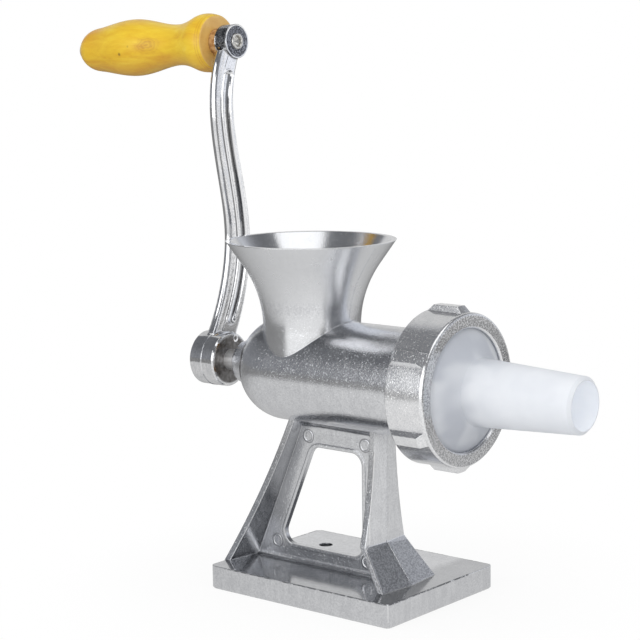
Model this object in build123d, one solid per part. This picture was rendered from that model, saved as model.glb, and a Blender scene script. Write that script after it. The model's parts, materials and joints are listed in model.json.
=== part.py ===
from build123d import *
import math
import os

# Hand crank meat grinder with a flat base, a round hopper and a stuffing tube, in millimetres.
# +X runs along the barrel to the outlet, +Z is up, and the origin lies on the base's underside.
# The pieces of the drive are made about the X axis and then lifted to the barrel's axis.

# Base
base_rear = 65.0
base_front = 62.0
base_width = 96.2
base_height = 13.3
base_corner = 3.5
base_edge_chamfer = 1.0
base_wall = 4.5
base_deck = 4.5
base_rib = 7.0
screw_hole_radius = 4.0
screw_hole_spacing = 66.0
screw_hole_to_edge = 23.8
screw_boss_wall = 4.0

# Barrel, its rear dome and boss, and its threaded head
axis_height = 124.4
axis_offset = -11.3
bore_radius = 25.0
barrel_wall = 4.2
dome_start_x = -33.7
boss_wall = 3.3
boss_taper = 3.4
boss_length = 9.4
rear_wall = 4.6
barrel_front_x = 61.0
head_flare = 4.5
head_length = 16.4
head_wall = 3.0
knife_room = 7.4
knife_room_step = 6.0

# Hopper
hopper_x = -18.0
hopper_top = 197.2
hopper_rim_radius = 47.1
throat_radius = 27.0
hopper_wall = 3.0
hopper_cone_angle = 35.0

# Stand
web_thickness = 2.2
leg_draft = 5.0
leg_foot_half_width = 23.5
leg_middle_half_width = 13.2
leg_top_half_width = 9.0
rear_leg_thickness = 4.0
rear_foot_inset = 1.2
rear_leg_top_gap = 6.8
front_leg_thickness = 3.6
front_leg_to_head = 28.0
front_foot_kick = 17.0
front_foot_height = 21.5
neck_fillet = 6.0
web_foot_fillet = 3.0
window_rear_foot_margin = 13.0
window_rear_top_margin = 12.6
window_front_margin = 12.2
window_bottom_margin = 9.7
window_top_margin = 13.8
window_corner = 7.0
window_rim_width = 2.0
window_rim_height = 0.45

# Feed screw and its shafts
screw_clearance = 0.5
screw_collar = 5.0
screw_collar_step = 5.0
core_wall = 3.0
screw_core_front_radius = 15.0
flight_pitch = 28.0
flight_root = 5.0
flight_tip = 3.0
flight_sink = 3.0
shank_radius = 6.0
shank_grip = 30.0
tail_relief = 0.1
tail_clearance = 0.7
bush_wall = 2.5
thrust_washer_thickness = 1.6
stud_square = 9.0
stud_root_radius = 5.0
stud_root_length = 20.0
stud_pilot_step = 0.5
running_gap = 0.05
face_gap = 0.2

# Knife and hole plate
knife_thickness = 7.0
knife_hub_wall = 3.1
knife_tip_gap = 0.8
blade_width = 9.0
blade_back = 4.0
blade_count = 4
plate_thickness = 6.0
plate_gap = 0.2
plate_proud = 0.4
plate_hole_radius = 3.6
inner_holes_radius = 12.5
inner_holes_count = 6
outer_holes_radius = 23.5
outer_holes_count = 12
key_radius = 2.0
key_gap = 0.15

# Ring nut
ring_wall = 3.5
ring_length = 23.3
ring_lip = 2.6
ring_lip_depth = 4.6
ring_front_round = 1.7
ring_draft = 1.0
ring_lip_chamfer = 0.9
thread_gap = 0.3
lug_count = 6
lug_height = 3.4
lug_root_width = 8.4
lug_tip_width = 6.4
lug_front_bevel = 3.0
lug_rear_bevel = 3.5

# Stuffing tube
tube_wall = 2.2
tube_flange = 2.4
tube_flange_gap = 0.5
tube_lip_gap = 0.1
tube_shoulder_gap = 0.5
tube_shoulder = 0.8
tube_cone_length = 9.5
tube_root_radius = 18.0
tube_tip_radius = 14.9
tube_reach = 63.0
tube_tip_round = 1.6

# Crank
crank_radius = 181.5
crank_lean = 5.1
hub_radius = 15.5
hub_length = 18.2
hub_to_boss = 11.7
hub_recess = 4.5
hub_recess_gap = 1.5
hub_chamfer = 0.8
arm_thickness = 8.0
arm_hub_width = 17.9
arm_grip_width = 13.3
arm_root_offset = -5.5
arm_root_lean = 26.5
arm_low_bow = 12.4
arm_low_bow_to_hub = 63.0
arm_high_bow = -6.3
arm_high_bow_to_grip = 34.0
arm_grip_lean = 16.7
arm_round = 2.4
arm_draft = 5.0
groove_width = 7.2
groove_depth = 2.3
groove_to_hub = 25.0
groove_to_grip = 20.0
crank_boss_radius = 9.6
crank_boss_length = 8.8
bolt_radius = 3.0
bolt_length = 16.0
bolt_head_flats = 10.0
bolt_head_height = 4.0
washer_radius = 8.5
washer_thickness = 1.6
lock_washer_radius = 5.6
lock_washer_thickness = 1.7
lock_washer_slit = 1.0

# Handle
handle_droop = 2.3
spindle_radius = 3.5
spindle_wall = 0.5
spindle_bore_depth = 22.0
spindle_flare = 1.0
spindle_flare_step = 1.1
spindle_head = 2.0
spindle_head_step = 1.1
spacer_radius = 8.0
spacer_length = 5.8
grip_length = 108.3
grip_gap = 0.08
grip_face_radius = 16.0
grip_face_round = 1.5
collar_radius = 16.8
collar_middle = 5.5
collar_end = 13.0
collar_end_radius = 15.7
neck_at = 25.0
neck_radius = 12.2
bulb_radius = 16.7
bulb_to_tip = 44.0
shoulder_radius = 13.3
shoulder_to_tip = 15.5
grip_tip_radius = 6.0
grip_tip_slope = 48.0
end_washer_step = 1.0
end_washer_thickness = 0.7

# Barrel: sizes and places that follow from the ones above
barrel_radius = bore_radius + barrel_wall
bush_radius = shank_radius + bush_wall
boss_tip_radius = bush_radius + boss_wall
boss_root_radius = boss_tip_radius + boss_taper
boss_root_x = dome_start_x - math.sqrt(barrel_radius**2 - boss_root_radius**2)
boss_tip_x = boss_root_x - boss_length
rear_wall_x = boss_root_x + rear_wall
head_start_x = barrel_front_x + head_flare
head_end_x = head_start_x + head_length
knife_room_radius = bore_radius + knife_room_step
plate_seat_radius = knife_room_radius + head_wall
head_radius = plate_seat_radius + head_wall

# Knife, plate, ring nut and tube: places along the axis
plate_front_x = head_end_x + plate_proud
plate_rear_x = plate_front_x - plate_thickness
knife_room_x = plate_rear_x - knife_room
knife_front_x = plate_rear_x - plate_gap / 2
knife_rear_x = knife_front_x - knife_thickness
knife_tip_radius = knife_room_radius - knife_tip_gap
knife_hub_radius = stud_square / math.sqrt(2) + knife_hub_wall
stud_pilot_radius = stud_square / 2 - stud_pilot_step
flange_front_x = plate_front_x + tube_flange
ring_front_x = flange_front_x + tube_lip_gap + ring_lip
ring_rear_x = ring_front_x - ring_length
ring_bore_radius = head_radius + thread_gap
ring_radius = ring_bore_radius + ring_wall
ring_opening_radius = ring_bore_radius - ring_lip_depth

# Feed screw: from the rear wall to the knife
screw_radius = bore_radius - screw_clearance
screw_core_rear_radius = shank_radius + core_wall
screw_collar_radius = screw_core_rear_radius + screw_collar_step
washer_rear_x = rear_wall_x + face_gap
screw_rear_x = washer_rear_x + thrust_washer_thickness
screw_front_x = knife_rear_x

# Crank and handle: places along the axis and along the spindle
hub_front_x = boss_tip_x - hub_to_boss
hub_rear_x = hub_front_x - hub_length
crank_mid_x = (hub_front_x + hub_rear_x) / 2
recess_floor_x = hub_rear_x + hub_recess
tail_end_x = recess_floor_x + tail_clearance
tail_side = math.sqrt(2) * shank_radius - tail_relief
bolt_seat_x = recess_floor_x - washer_thickness - lock_washer_thickness
boss_half = crank_boss_length / 2
spacer_end = -boss_half - spacer_length
grip_end = spacer_end - grip_length
end_washer_end = grip_end - end_washer_thickness
spindle_bore_radius = spindle_radius - spindle_wall
spindle_flare_radius = spindle_radius + spindle_flare_step
spindle_head_radius = spindle_radius + spindle_head_step

# Stand: where the legs stand and where the casting's parts meet
deck_sink_z = base_height - base_deck / 2
rear_foot_x = rear_foot_inset - base_rear
rear_top_x = dome_start_x + rear_leg_top_gap
front_leg_x = barrel_front_x - front_leg_to_head
front_inner_x = front_leg_x - front_leg_thickness
front_foot_x = front_leg_x + front_foot_kick
front_kink_z = base_height + front_foot_height
leg_top_z = axis_height - bore_radius - barrel_wall / 4
stand_mid_x = (rear_foot_x + front_foot_x) / 2
screw_hole_y = base_width / 2 - screw_hole_to_edge


def lifted(piece):
    """Moves a piece that was made about the X axis up to the barrel's axis."""
    return Pos(0, axis_offset, axis_height) * piece


def turned(*points):
    """Solid of revolution about the X axis, through (x, radius) points."""
    return revolve(make_face(Polyline(*points, close=True)), Axis.X)


def rod(radius, start_x, end_x):
    """Round bar along the X axis."""
    return turned((start_x, 0), (start_x, radius), (end_x, radius), (end_x, 0))


def square_bar(side, start_x, end_x):
    """Square bar along the X axis."""
    return Pos((start_x + end_x) / 2, 0, 0) * Box(end_x - start_x, side, side)


def washer(outer, inner, start_x, end_x):
    """Flat ring about the X axis."""
    return turned((start_x, inner), (start_x, outer), (end_x, outer), (end_x, inner))


def upright_face(edges):
    """Face in the upright plane along the barrel, from edges drawn as (x, z)."""
    return Plane.XZ * make_face(edges)


def run_along_x(edges, start_x, end_x):
    """Bar along the X axis, from edges of its section drawn as (y, z)."""
    return extrude(Plane.YZ.offset(start_x) * make_face(edges), amount=end_x - start_x)


def rear_leg_x(z):
    """Place of the rear leg's inner face at a height."""
    rise = (z - base_height) / (leg_top_z - base_height)
    return rear_foot_x + rise * (rear_top_x - rear_foot_x) + rear_leg_thickness


def base():
    """Die-cast base: a deck with a wall all round, cross ribs below and two screw bosses."""
    length = base_rear + base_front
    middle = Pos((base_front - base_rear) / 2, 0, 0)
    standing = (Align.CENTER, Align.CENTER, Align.MIN)
    slab = middle * Box(length, base_width, base_height, align=standing)
    slab = fillet(slab.edges().filter_by(Axis.Z), base_corner)
    slab = chamfer(slab.faces().sort_by(Axis.Z)[0].edges(), base_edge_chamfer)
    depth = base_height - base_deck
    inner_length = length - 2 * base_wall
    inner_width = base_width - 2 * base_wall
    hollow = middle * Box(inner_length, inner_width, depth, align=standing)
    ribs = Box(base_rib, inner_width, depth, align=standing)
    ribs += middle * Pos(0, axis_offset, 0) * Box(inner_length, base_rib, depth, align=standing)
    places = [Pos(stand_mid_x + side * screw_hole_spacing / 2, screw_hole_y, 0) for side in (-1, 1)]
    for place in places:
        ribs += place * Cylinder(screw_hole_radius + screw_boss_wall, depth, align=standing)
    slab = slab - (hollow - ribs)
    for place in places:
        slab -= place * Cylinder(screw_hole_radius, base_height, align=standing)
    return slab


def leg(x_z_points):
    """Leg whose side outline is swept out from the parting plane with draft, and flares towards the foot."""
    side = upright_face(Polyline(*x_z_points, close=True))
    slope = math.tan(math.radians(leg_draft))
    halves = extrude(side, amount=base_width, dir=(-slope, 1, 0))
    halves += extrude(side, amount=base_width, dir=(-slope, -1, 0))
    edge = ThreePointArc(
        (leg_foot_half_width, base_height),
        (leg_middle_half_width, (base_height + axis_height - barrel_radius) / 2),
        (leg_top_half_width, leg_top_z),
    )
    other = mirror(edge, Plane.YZ)
    outline = [
        edge,
        other,
        Line(edge @ 1, other @ 1),
        Polyline(
            edge @ 0,
            (leg_foot_half_width, deck_sink_z),
            (-leg_foot_half_width, deck_sink_z),
            other @ 0,
        ),
    ]
    return halves & run_along_x(outline, -base_rear - base_width, base_front)


def neck(start_x, end_x):
    """Concave blend along X between the web and the barrel above it."""
    half = web_thickness / 2
    reach = barrel_radius + neck_fillet
    drop = math.sqrt(reach**2 - (half + neck_fillet) ** 2)
    low_z = axis_height - drop
    share = barrel_radius / reach
    top_y = (half + neck_fillet) * share
    top_z = axis_height - drop * share
    outline = [
        RadiusArc((half, low_z), (top_y, top_z), neck_fillet),
        Polyline((top_y, top_z), (top_y, leg_top_z), (-top_y, leg_top_z), (-top_y, top_z)),
        RadiusArc((-top_y, top_z), (-half, low_z), neck_fillet),
        Line((-half, low_z), (half, low_z)),
    ]
    return run_along_x(outline, start_x, end_x)


def web_foot(start_x, end_x):
    """Concave blend along X between the web and the base's deck."""
    half = web_thickness / 2
    foot = half + web_foot_fillet
    top = base_height + web_foot_fillet
    outline = [
        RadiusArc((half, top), (foot, base_height), -web_foot_fillet),
        Polyline(
            (foot, base_height),
            (foot, deck_sink_z),
            (-foot, deck_sink_z),
            (-foot, base_height),
        ),
        RadiusArc((-foot, base_height), (-half, top), -web_foot_fillet),
        Line((-half, top), (half, top)),
    ]
    return run_along_x(outline, start_x, end_x)


def window_outline():
    """Rounded window in the web, drawn as (x, z)."""
    low = base_height + window_bottom_margin
    high = axis_height - barrel_radius - window_top_margin
    front = front_inner_x - window_front_margin
    corners = Polyline(
        (rear_leg_x(low) + window_rear_foot_margin, low),
        (front, low),
        (front, high),
        (rear_leg_x(high) + window_rear_top_margin, high),
        close=True,
    )
    window = make_face(corners)
    return fillet(window.vertices(), window_corner)


def stand():
    """Upright web with a rimmed window, between a slanted rear leg and a front leg with a kicked-out foot."""
    foot_inner_x = front_foot_x - front_leg_thickness
    rear = leg(
        [
            (rear_foot_x, deck_sink_z),
            (rear_foot_x, base_height),
            (rear_top_x, leg_top_z),
            (rear_top_x + rear_leg_thickness, leg_top_z),
            (rear_foot_x + rear_leg_thickness, base_height),
            (rear_foot_x + rear_leg_thickness, deck_sink_z),
        ]
    )
    front = leg(
        [
            (front_leg_x, leg_top_z),
            (front_leg_x, front_kink_z),
            (front_foot_x, base_height),
            (front_foot_x, deck_sink_z),
            (foot_inner_x, deck_sink_z),
            (foot_inner_x, base_height),
            (front_inner_x, front_kink_z),
            (front_inner_x, leg_top_z),
        ]
    )
    rear_middle = rear_leg_thickness / 2
    front_middle = front_leg_thickness / 2
    web_outline = upright_face(
        Polyline(
            (rear_foot_x + rear_middle, deck_sink_z),
            (rear_foot_x + rear_middle, base_height),
            (rear_top_x + rear_middle, leg_top_z),
            (front_leg_x - front_middle, leg_top_z),
            (front_leg_x - front_middle, front_kink_z),
            (front_foot_x - front_middle, base_height),
            (front_foot_x - front_middle, deck_sink_z),
            close=True,
        )
    )
    half = web_thickness / 2
    window = window_outline()
    rim = Plane.XZ * offset(window, window_rim_width)
    solid = extrude(web_outline, amount=half, both=True) + rear + front
    solid += extrude(rim, amount=half + window_rim_height, both=True)
    solid += neck(rear_top_x, front_leg_x)
    solid += web_foot(rear_foot_x + rear_middle, front_foot_x - front_middle)
    solid -= extrude(Plane.XZ * window, amount=base_width, both=True)
    return Pos(0, axis_offset, 0) * solid


def barrel_outside():
    """Outside of the barrel: rear boss, dome, plain barrel and the flared head that carries the ring nut."""
    turn = math.degrees(math.acos(boss_root_radius / barrel_radius))
    dome = CenterArc((dome_start_x, 0), barrel_radius, 90, turn)
    outline = [
        dome,
        Polyline(dome @ 1, (boss_tip_x, boss_tip_radius), (boss_tip_x, 0), (head_end_x, 0)),
        Polyline(
            (head_end_x, 0),
            (head_end_x, head_radius),
            (head_start_x, head_radius),
            (barrel_front_x, barrel_radius),
            dome @ 0,
        ),
    ]
    return revolve(make_face(outline), Axis.X)


def barrel_inside():
    """Room inside the barrel for the bush, the screw, the knife and the hole plate."""
    turn = math.degrees(math.asin((dome_start_x - rear_wall_x) / bore_radius))
    dome = CenterArc((dome_start_x, 0), bore_radius, 90, turn)
    outline = [
        dome,
        Polyline(
            dome @ 1,
            (rear_wall_x, bush_radius),
            (boss_tip_x, bush_radius),
            (boss_tip_x, 0),
            (head_end_x, 0),
        ),
        Polyline(
            (head_end_x, 0),
            (head_end_x, plate_seat_radius),
            (plate_rear_x, plate_seat_radius),
            (plate_rear_x, knife_room_radius),
            (knife_room_x, knife_room_radius),
            (knife_room_x, bore_radius),
            dome @ 0,
        ),
    ]
    return revolve(make_face(outline), Axis.X)


def hopper(inset=0.0):
    """Hopper as a solid, or the room inside it: a straight throat that bends into a cone."""
    radius = throat_radius - inset
    rim = hopper_rim_radius - inset
    angle = math.radians(hopper_cone_angle)
    throat_top = axis_height + bore_radius
    spread = (hopper_top - throat_top) * math.tan(angle) - (rim - radius)
    bend = spread / (math.sin(angle) * math.tan(angle) - 1 + math.cos(angle))
    arc = CenterArc((radius + bend, throat_top), bend, 180, -hopper_cone_angle)
    half = [
        Polyline((0, axis_height), (radius, axis_height), arc @ 0),
        arc,
        Polyline(arc @ 1, (rim, hopper_top), (0, hopper_top), (0, axis_height)),
    ]
    return Pos(hopper_x, axis_offset, 0) * revolve(upright_face(half), Axis.Z)


def key_pin(gap=0.0):
    """Pin that keeps the hole plate from turning, half in the head and half in the plate."""
    return Pos(0, 0, -plate_seat_radius) * rod(key_radius + gap, plate_rear_x, plate_front_x)


def body_casting():
    """Hopper, barrel, stand and base in one casting."""
    solid = base() + stand() + lifted(barrel_outside()) + hopper()
    solid -= lifted(barrel_inside())
    solid -= hopper(hopper_wall)
    solid -= lifted(key_pin())
    return solid


def rear_bushing():
    """Plain bearing sleeve in the barrel's rear boss."""
    return washer(bush_radius - running_gap, shank_radius + running_gap, boss_tip_x, rear_wall_x)


def feed_screw():
    """Left-hand feed screw: a core that thickens towards the knife, with a thrust collar and one flight."""
    collar_x = screw_rear_x + screw_collar
    core = turned(
        (screw_rear_x, 0),
        (screw_rear_x, screw_collar_radius),
        (collar_x, screw_collar_radius),
        (collar_x + screw_collar_step, screw_core_rear_radius),
        (screw_front_x, screw_core_front_radius),
        (screw_front_x, 0),
    )
    start = Vector(dome_start_x + flight_root / 2, 0, 0)
    along = Vector(1, 0, 0)
    length = screw_front_x - dome_start_x - flight_root
    path = Helix(flight_pitch, length, screw_core_rear_radius, start, along, lefthand=True)
    outward = (path @ 0 - start).normalized()
    section_plane = Plane(origin=start, x_dir=outward, z_dir=along.cross(outward))
    root = screw_core_rear_radius - flight_sink
    section = section_plane * make_face(
        Polyline(
            (root, -flight_root / 2),
            (screw_radius, -flight_tip / 2),
            (screw_radius, flight_tip / 2),
            (root, flight_root / 2),
            close=True,
        )
    )
    solid = core + sweep(section, path, is_frenet=True)
    solid -= rod(shank_radius + running_gap, screw_rear_x, screw_rear_x + shank_grip)
    solid -= rod(stud_root_radius + running_gap, screw_front_x - stud_root_length, screw_front_x)
    return solid


def thrust_washer():
    """Washer that takes the push of the screw against the rear wall."""
    return washer(screw_collar_radius, shank_radius + running_gap, washer_rear_x, screw_rear_x)


def drive_shank():
    """Steel shaft in the screw's tail, with a square end for the crank and a tapped hole for its bolt."""
    shaft = rod(shank_radius, hub_front_x, screw_rear_x + shank_grip)
    shaft += square_bar(tail_side, tail_end_x, hub_front_x)
    hole_end = bolt_seat_x + bolt_length + tail_clearance
    shaft -= rod(bolt_radius + running_gap, tail_end_x, hole_end)
    return crank_turn(shaft)


def knife_stud():
    """Steel stud in the screw's front end: a square for the knife and a pilot for the hole plate."""
    stud = rod(stud_root_radius, screw_front_x - stud_root_length, screw_front_x)
    stud += square_bar(stud_square, screw_front_x, knife_front_x)
    return stud + rod(stud_pilot_radius, knife_front_x, head_end_x)


def knife():
    """Cross knife: bevelled blades round a hub, flat on the side that runs on the hole plate."""
    edge = blade_width / 2
    section = make_face(
        Polyline(
            (knife_front_x, -edge),
            (knife_front_x, edge),
            (knife_rear_x, edge - blade_back / 2),
            (knife_rear_x, edge - blade_back),
            close=True,
        )
    )
    blade = extrude(section, amount=knife_room_radius)
    solid = rod(knife_hub_radius, knife_rear_x, knife_front_x)
    for index in range(blade_count):
        solid += Rot(index * 360 / blade_count, 0, 0) * blade
    solid &= rod(knife_tip_radius, knife_rear_x, knife_front_x)
    return solid - square_bar(stud_square + 2 * running_gap, knife_rear_x, knife_front_x)


def hole_plate():
    """Perforated plate with a notch for the key pin."""
    plate = rod(plate_seat_radius - plate_gap, plate_rear_x, plate_front_x)
    plate -= rod(stud_pilot_radius + running_gap, plate_rear_x, plate_front_x)
    rings = ((inner_holes_radius, inner_holes_count), (outer_holes_radius, outer_holes_count))
    for ring, count in rings:
        hole = Pos(0, 0, ring) * rod(plate_hole_radius, plate_rear_x, plate_front_x)
        for index in range(count):
            plate -= Rot((index + 0.5) * 360 / count, 0, 0) * hole
    return plate - key_pin(key_gap)


def plate_key():
    """The key pin in its groove."""
    return key_pin(-running_gap)


def ring_nut():
    """Screw ring with lugs round its outside and a lip that holds the tube's flange."""
    end_x = ring_front_x - ring_front_round
    rear_radius = ring_radius + (end_x - ring_rear_x) * math.tan(math.radians(ring_draft))
    outline = [
        CenterArc((end_x, ring_radius - ring_front_round), ring_front_round, 0, 90),
        Polyline(
            (end_x, ring_radius),
            (ring_rear_x, rear_radius),
            (ring_rear_x, ring_bore_radius),
            (ring_front_x - ring_lip, ring_bore_radius),
        ),
        Polyline(
            (ring_front_x - ring_lip, ring_bore_radius),
            (ring_front_x - ring_lip, ring_opening_radius),
            (ring_front_x - ring_lip_chamfer, ring_opening_radius),
            (ring_front_x, ring_opening_radius + ring_lip_chamfer),
            (ring_front_x, ring_radius - ring_front_round),
        ),
    ]
    ring = revolve(make_face(outline), Axis.X)
    top = ring_radius + lug_height
    low = ring_radius - ring_wall / 2
    section = [
        Polyline(
            (-lug_root_width / 2, low),
            (-lug_root_width / 2, ring_radius),
            (-lug_tip_width / 2, top),
            (lug_tip_width / 2, top),
            (lug_root_width / 2, ring_radius),
            (lug_root_width / 2, low),
            close=True,
        )
    ]
    lug = run_along_x(section, ring_rear_x, end_x) & turned(
        (ring_rear_x, 0),
        (ring_rear_x, ring_radius),
        (ring_rear_x + lug_rear_bevel, top),
        (end_x - lug_front_bevel, top),
        (end_x, ring_radius),
        (end_x, 0),
    )
    for index in range(lug_count):
        ring += Rot(index * 360 / lug_count, 0, 0) * lug
    return ring


def stuffing_tube():
    """Thin-walled funnel: a flange under the ring's lip, a cone and a tapered tube."""
    flange = ring_bore_radius - tube_flange_gap
    shoulder = ring_opening_radius - tube_shoulder_gap
    shoulder_x = flange_front_x + tube_shoulder
    cone_x = shoulder_x + tube_cone_length
    tip_x = cone_x + tube_reach
    return turned(
        (plate_front_x, shoulder - tube_wall),
        (plate_front_x, flange),
        (flange_front_x, flange),
        (flange_front_x, shoulder),
        (shoulder_x, shoulder),
        (cone_x, tube_root_radius),
        (tip_x - tube_tip_round, tube_tip_radius),
        (tip_x, tube_tip_radius - tube_tip_round),
        (tip_x, tube_tip_radius - tube_wall),
        (cone_x - tube_wall / 2, tube_root_radius - tube_wall),
        (shoulder_x - tube_wall / 2, shoulder - tube_wall),
    )


def ribbon(line, start_width, end_width, steps=6):
    """Face that follows a centre line, with a width that changes evenly along it."""
    left = []
    right = []
    for index in range(steps):
        share = index / (steps - 1)
        along = line % share
        half = (start_width + share * (end_width - start_width)) / 2
        side = Vector(-along.Y, along.X) * half
        left.append(line @ share + side)
        right.append(line @ share - side)
    right.reverse()
    return make_face([Spline(left), Line(left[-1], right[0]), Spline(right), Line(right[-1], left[0])])


def arm_line():
    """Centre line of the crank's S-shaped arm, from the hub to the handle's boss, drawn as (y, z)."""
    leans = [math.radians(lean) for lean in (arm_root_lean, arm_grip_lean)]
    return Spline(
        (arm_root_offset, 0),
        (arm_low_bow, arm_low_bow_to_hub),
        (arm_high_bow, crank_radius - arm_high_bow_to_grip),
        (0, crank_radius),
        tangents=[(math.sin(lean), math.cos(lean)) for lean in leans],
    )


def arm_groove(line, side):
    """Round-bottomed trough along one face of the arm, with round ends."""
    radius = (groove_width**2 / 4 + groove_depth**2) / (2 * groove_depth)
    level = crank_mid_x + side * (arm_thickness / 2 - groove_depth + radius)
    floor = line.trim(groove_to_hub / line.length, 1 - groove_to_grip / line.length)
    path = Plane.YZ.offset(level) * floor
    trough = sweep(Plane(path @ 0, z_dir=path % 0) * Circle(radius), path)
    for end in (0, 1):
        trough += Pos(*(path @ end)) * Sphere(radius)
    return trough


def crank_turn(piece):
    """Leans a piece of the crank to its place at rest."""
    return Rot(-crank_lean, 0, 0) * piece


def handle_place():
    """Place of the handle's axis on the crank: its local X axis runs through the boss."""
    return Pos(crank_mid_x, 0, crank_radius) * Rot(0, -handle_droop, 0)


def on_handle(piece):
    """Moves a piece made about the handle's own axis to its place on the crank."""
    return crank_turn(handle_place() * piece)


def crank_arm():
    """Cast crank: a hub with a square hole, a grooved S-shaped arm and a boss for the handle."""
    line = arm_line()
    face = Plane.YZ.offset(crank_mid_x) * ribbon(line, arm_hub_width, arm_grip_width)
    arm = extrude(face, amount=arm_thickness / 2, both=True, taper=arm_draft)
    long_edges = arm.edges().filter_by(lambda edge: edge.length > crank_radius / 2)
    arm = fillet(long_edges, arm_round)
    for side in (-1, 1):
        arm -= arm_groove(line, side)
    hub = turned(
        (hub_rear_x, 0),
        (hub_rear_x, hub_radius - hub_chamfer),
        (hub_rear_x + hub_chamfer, hub_radius),
        (hub_front_x - hub_chamfer, hub_radius),
        (hub_front_x, hub_radius - hub_chamfer),
        (hub_front_x, 0),
    )
    arm += hub
    arm += handle_place() * rod(crank_boss_radius, -boss_half, boss_half)
    arm -= square_bar(tail_side + 2 * running_gap, hub_rear_x, hub_front_x)
    arm -= rod(washer_radius + hub_recess_gap, hub_rear_x, recess_floor_x)
    arm -= handle_place() * rod(spindle_radius + running_gap, -crank_boss_length, crank_boss_length)
    return crank_turn(arm)


def crank_washer():
    """Flat washer on the floor of the hub's recess."""
    hole = bolt_radius + running_gap
    return washer(washer_radius, hole, recess_floor_x - washer_thickness, recess_floor_x)


def crank_lock_washer():
    """Split spring washer under the bolt's head."""
    front_x = recess_floor_x - washer_thickness
    ring = washer(lock_washer_radius, bolt_radius + running_gap, bolt_seat_x, front_x)
    slit = Box(lock_washer_thickness, lock_washer_slit, lock_washer_radius)
    return ring - Pos((bolt_seat_x + front_x) / 2, 0, lock_washer_radius / 2) * slit


def crank_bolt():
    """Hexagon bolt that holds the crank on the shank's tail."""
    bolt = rod(bolt_radius, bolt_seat_x, bolt_seat_x + bolt_length)
    hexagon = RegularPolygon(bolt_head_flats / 2, 6, major_radius=False)
    return bolt + extrude(Plane.YZ.offset(bolt_seat_x) * hexagon, amount=-bolt_head_height)


def handle_spacer():
    """Copper-coloured ferrule between the crank's boss and the wooden grip."""
    return on_handle(washer(spacer_radius, spindle_radius + running_gap, spacer_end, -boss_half))


def handle_grip():
    """Turned wooden grip: collar, neck, bulb and rounded tip, loose on its spindle."""

    def at(distance, radius):
        return (spacer_end - face_gap - distance, radius)

    span = grip_length - 2 * face_gap
    inner_radius = grip_face_radius - grip_face_round
    face_edge = CenterArc(at(grip_face_round, inner_radius), grip_face_round, 0, 90)
    collar = ThreePointArc(
        at(grip_face_round, grip_face_radius),
        at(collar_middle, collar_radius),
        at(collar_end, collar_end_radius),
    )
    tip_angle = math.radians(grip_tip_slope)
    swell = Spline(
        at(collar_end, collar_end_radius),
        at(neck_at, neck_radius),
        at(span - bulb_to_tip, bulb_radius),
        at(span - shoulder_to_tip, shoulder_radius),
        at(span, grip_tip_radius),
        tangents=[collar % 1, (-math.cos(tip_angle), -math.sin(tip_angle))],
    )
    hole = spindle_radius + grip_gap
    outline = [
        face_edge,
        collar,
        swell,
        Polyline(at(span, grip_tip_radius), at(span, hole), at(0, hole), at(0, inner_radius)),
    ]
    return on_handle(revolve(make_face(outline), Axis.X))


def handle_end_washer():
    """Washer between the grip's tip and the spindle's head."""
    outer = spindle_head_radius + end_washer_step
    return on_handle(washer(outer, spindle_radius + running_gap, end_washer_end, grip_end))


def handle_spindle():
    """Semi-tubular rivet: flared over the boss at one end, headed at the grip's tip."""
    sphere = (spindle_head_radius**2 + spindle_head**2) / (2 * spindle_head)
    cap_angle = math.degrees(math.asin(spindle_head_radius / sphere))
    head_x = end_washer_end - spindle_head
    bore_end = boss_half - spindle_bore_depth
    outline = [
        CenterArc((head_x + sphere, 0), sphere, 180 - cap_angle, cap_angle),
        Polyline((head_x, 0), (bore_end, 0), (bore_end, spindle_bore_radius), (boss_half, spindle_bore_radius)),
        ThreePointArc(
            (boss_half, spindle_bore_radius),
            (boss_half + spindle_flare, (spindle_bore_radius + spindle_flare_radius) / 2),
            (boss_half, spindle_flare_radius),
        ),
        Polyline(
            (boss_half, spindle_flare_radius),
            (boss_half, spindle_radius),
            (end_washer_end, spindle_radius),
            (end_washer_end, spindle_head_radius),
        ),
    ]
    return on_handle(revolve(make_face(outline), Axis.X))


drive_pieces = [
    rear_bushing,
    feed_screw,
    thrust_washer,
    drive_shank,
    knife_stud,
    knife,
    hole_plate,
    plate_key,
    ring_nut,
    stuffing_tube,
    crank_arm,
    crank_washer,
    crank_lock_washer,
    crank_bolt,
    handle_spacer,
    handle_grip,
    handle_end_washer,
    handle_spindle,
]

os.makedirs("parts", exist_ok=True)
export_step(body_casting(), "parts/body_casting.step")
for piece in drive_pieces:
    export_step(lifted(piece()), f"parts/{piece.__name__}.step")
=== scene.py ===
import json
import math

import bmesh
import bpy
import numpy
from mathutils import Matrix, Vector


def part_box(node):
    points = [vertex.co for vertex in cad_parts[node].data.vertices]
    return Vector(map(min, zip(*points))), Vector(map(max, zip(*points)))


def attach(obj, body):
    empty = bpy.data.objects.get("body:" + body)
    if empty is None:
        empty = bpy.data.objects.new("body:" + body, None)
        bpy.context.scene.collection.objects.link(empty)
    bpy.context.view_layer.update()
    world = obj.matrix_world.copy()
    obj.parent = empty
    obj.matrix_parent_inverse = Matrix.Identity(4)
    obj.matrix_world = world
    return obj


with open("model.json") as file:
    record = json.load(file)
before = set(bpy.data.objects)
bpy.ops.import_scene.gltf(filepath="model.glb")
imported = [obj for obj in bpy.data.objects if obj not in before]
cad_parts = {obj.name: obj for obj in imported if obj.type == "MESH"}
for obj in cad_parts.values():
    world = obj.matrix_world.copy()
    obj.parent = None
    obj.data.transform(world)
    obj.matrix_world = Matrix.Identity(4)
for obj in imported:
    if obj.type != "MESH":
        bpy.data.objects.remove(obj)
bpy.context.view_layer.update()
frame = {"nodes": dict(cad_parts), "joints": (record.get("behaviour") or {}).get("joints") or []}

nodes = frame["nodes"]
joints = {joint["name"]: joint for joint in frame["joints"]}

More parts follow.
